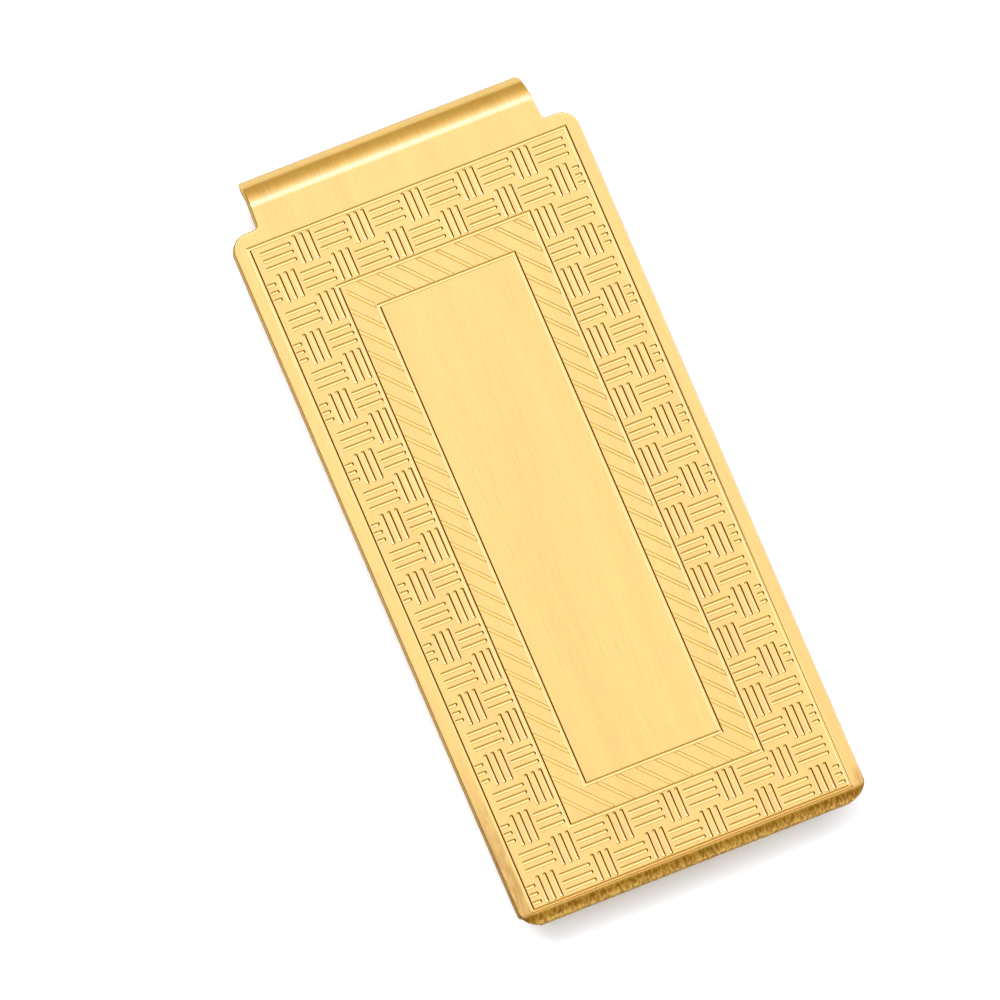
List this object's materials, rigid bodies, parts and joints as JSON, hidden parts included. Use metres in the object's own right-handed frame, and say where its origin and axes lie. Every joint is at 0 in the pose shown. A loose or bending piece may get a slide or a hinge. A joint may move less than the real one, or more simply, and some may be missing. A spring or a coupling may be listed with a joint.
{
  "type": "money clip",
  "caption": "Spring-hinged money clip: an engraved plate whose neck curls round a hinge, with a bowed arm behind it that presses folded notes against the plate.",
  "frame": {"origin": "on the surface under the middle of the clip, which lies on its back with the decorated face up", "axes": "+X across the plate, +Y along it toward the curled neck and hinge, +Z out of the decorated face"},
  "size_m": [0.0244, 0.053, 0.0046],
  "materials": {
    "gold_satin": "satin, brushed along the length",
    "gold_polished": "polished",
    "spring_steel": "drawn wire"
  },
  "bodies": {
    "plate": {"front_plate": "gold_satin", "bush_left": "gold_polished", "bush_right": "gold_polished", "hinge_pin": "gold_polished", "torsion_spring": "spring_steel"},
    "arm": {"clip_arm": "gold_satin"}
  },
  "joints": [
    {"name": "arm_hinge", "type": "hinge", "parent": "plate", "child": "arm", "pos_m": [0, 0.02415, 0.0023], "axis": [1, 0, 0], "range_deg": [0, 85], "stiffness_Nm_per_rad": 0.005, "springref_deg": -171.89, "deforming": ["torsion_spring"]}
  ]
}
